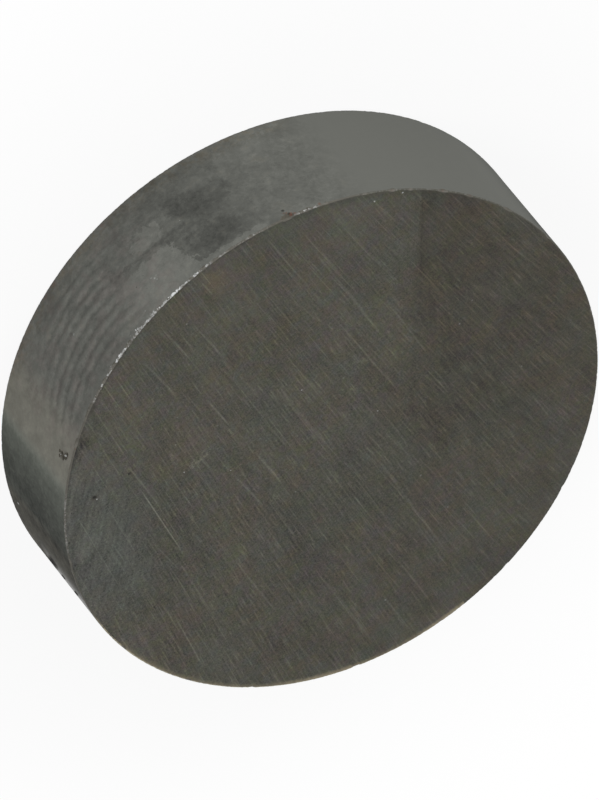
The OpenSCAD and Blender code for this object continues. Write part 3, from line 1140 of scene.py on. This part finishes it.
def rim_material():
    material, g = new_material("worn_rim")
    p = g.place()
    angle, down = wall_place(g, p)
    crumbs = g.noise(p, 7, 4, 0.7)
    fine_wander = g.cloud(1, p, 5, 3, 0.6)
    # Painted light along the far rim's edge.
    light = g.band(angle, *RIM_PALE) * g.smooth(crumbs, 0.32, 0.52)
    dark = 1 - g.band(angle, *RIM_PLAIN)
    dark = g.highest(dark, g.band(angle, *RIM_DUSKY) * 0.7)
    colour = g.layered(BROKEN_TONE, RIM_LIGHT, light, 0.8)
    colour = g.shade(g.layered(colour, RIM_DARK, dark, 0.8), g.spread(crumbs, 0.5))
    colour = broken_over(g, colour, BROKEN_TONE, g.spread(crumbs, 0.6))
    colour = wall_spots(g, angle, down, fine_wander, colour, RUST_TONE, WALL_RUST)
    # Painted shade on the lower rim, next to the floor.
    colour = g.layered(colour, RIM_FOOT_SHADE, g.smooth(down, 4, 4.5), 0.85)
    # Painted highlights along the upper rim.
    colour = g.layered(colour, GLINT_TONE, rim_glints(g, p, angle), 0.95)
    roughness = g.scaled(crumbs, 0.4, 0.25)
    g.finish(colour, roughness, g.bump(crumbs, RIM_RELIEF), RIM_SPECULAR)
    return material


# ---------------- the piece

def add_object(name, data):
    made = bpy.data.objects.new(name, data)
    bpy.context.scene.collection.objects.link(made)
    return made


def add_disc():
    mesh = disc_mesh()
    for material in (upper_face_material(), wall_material(), rim_material(), lower_face_material()):
        mesh.materials.append(material)
    mesh.polygons.foreach_set("use_smooth", [True] * len(mesh.polygons))
    mesh.set_sharp_from_angle(angle=math.radians(SHARP_ANGLE))
    disc = add_object("disc", mesh)
    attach(disc, "root")
    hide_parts(NODE)


# ---------------- studio

WORLD_LIGHT = 0.46
FLOOR_TONE = 0.8
FLOOR_HALF = 600
# The floor lies this far below the disc, in metres, so that the two don't share a plane.
FLOOR_GAP = 1e-5
# Share of the real floor in the white one, and the distances over which that share fades.
FLOOR_SHADOW = 0.1
SHADOW_FADE = (RADIUS, 2.5 * RADIUS)

# The camera: elevation and roll, then its distance and offsets as shares of the disc's radius.
VIEW_ELEVATION = 45.87
VIEW_ROLL = 141
VIEW_DISTANCE = 63.16
VIEW_RIGHT = 0.1123
VIEW_DOWN = 0.1358
LENS = 844.5
SENSOR = 36

# Soft round lamps: name, azimuth round the disc, elevation, distance, width, radiance.
LAMPS = [
    ("key", -62, 45, 300, 100, 10.5),
    ("fill", -150, 25, 320, 160, 7),
]


def add_camera():
    """A long lens on the front, rolled as the picture is."""
    e, roll = math.radians(VIEW_ELEVATION), math.radians(VIEW_ROLL)
    forward = Vector((0, math.cos(e), -math.sin(e)))
    level, up = Vector((1, 0, 0)), Vector((0, math.sin(e), math.cos(e)))
    image_right = level * math.cos(roll) + up * math.sin(roll)
    image_up = up * math.cos(roll) - level * math.sin(roll)
    away = image_right * VIEW_RIGHT - image_up * VIEW_DOWN + forward * VIEW_DISTANCE
    spot = Vector((0, 0, TOP)) - away * RADIUS
    data = bpy.data.cameras.new("camera")
    data.lens = LENS
    data.sensor_width = SENSOR
    camera = add_object("camera", data)
    axes = Matrix((image_right, image_up, -forward)).transposed()
    camera.matrix_world = Matrix.Translation(spot * MM) @ axes.to_4x4()
    bpy.context.scene.camera = camera


def add_lamps():
    for name, azimuth, elevation, distance, width, radiance in LAMPS:
        a, e = math.radians(azimuth), math.radians(elevation)
        away = Vector((math.cos(a) * math.cos(e), math.sin(a) * math.cos(e), math.sin(e)))
        data = bpy.data.lights.new(name, "AREA")
        data.shape = "DISK"
        data.size = width * MM
        data.energy = radiance * math.pi * math.pi * (width * MM / 2) ** 2
        lamp = add_object(name, data)
        lamp.location = (away * distance + Vector((0, 0, THICKNESS / 2))) * MM
        lamp.rotation_euler = away.to_track_quat("Z", "Y").to_euler()


def seen_plainly(g):
    """1 for camera rays, and 1 for glossy and transmission rays: they see a white background."""
    path = g.node("ShaderNodeLightPath")
    kinds = ["Is Camera Ray", "Is Glossy Ray", "Is Transmission Ray"]
    camera, glossy, passed = [g.output(path, kind) for kind in kinds]
    return camera, g.highest(glossy, passed)


def add_world():
    world = bpy.data.worlds.new("world")
    world.use_nodes = True
    bpy.context.scene.world = world
    g = Graph(world.node_tree)
    seen = g.highest(*seen_plainly(g))
    background = g.node("ShaderNodeBackground")
    inputs = background.inputs["Color"], background.inputs["Strength"]
    light = g.scaled(seen, 1 - WORLD_LIGHT, WORLD_LIGHT)
    g.end("ShaderNodeOutputWorld", g.made(background, inputs, WHITE, light))


def mixed_shaders(g, factor, first, second):
    mixed = g.node("ShaderNodeMixShader")
    return g.made(mixed, mixed.inputs, factor, first, second)


def floor_material():
    """White to the camera with a faint shadow, and clear from below."""
    material, g = new_material("floor")
    camera, mirrored = seen_plainly(g)
    near = g.fade(g.vector("LENGTH", g.place()), *SHADOW_FADE)
    kept = 1 - near * FLOOR_SHADOW
    white = g.highest(camera * kept, mirrored)
    diffuse = g.node("ShaderNodeBsdfDiffuse")
    matt = g.made(diffuse, diffuse.inputs, (FLOOR_TONE, FLOOR_TONE, FLOOR_TONE, 1))
    above = mixed_shaders(g, white, matt, g.output(g.node("ShaderNodeEmission"), 0))
    below = g.output(g.node("ShaderNodeNewGeometry"), "Backfacing")
    clear = g.output(g.node("ShaderNodeBsdfTransparent"), 0)
    g.end("ShaderNodeOutputMaterial", mixed_shaders(g, below, above, clear))
    return material


def add_floor():
    side = FLOOR_HALF * MM
    z = BOTTOM * MM - FLOOR_GAP
    mesh = bpy.data.meshes.new("floor")
    corners = [(-side, -side, z), (side, -side, z), (side, side, z), (-side, side, z)]
    mesh.from_pydata(corners, [], [(0, 1, 2, 3)])
    mesh.materials.append(floor_material())
    floor = add_object("floor", mesh)


bpy.context.scene.view_settings.view_transform = "Standard"
add_camera()
add_disc()
add_floor()
add_lamps()
add_world()
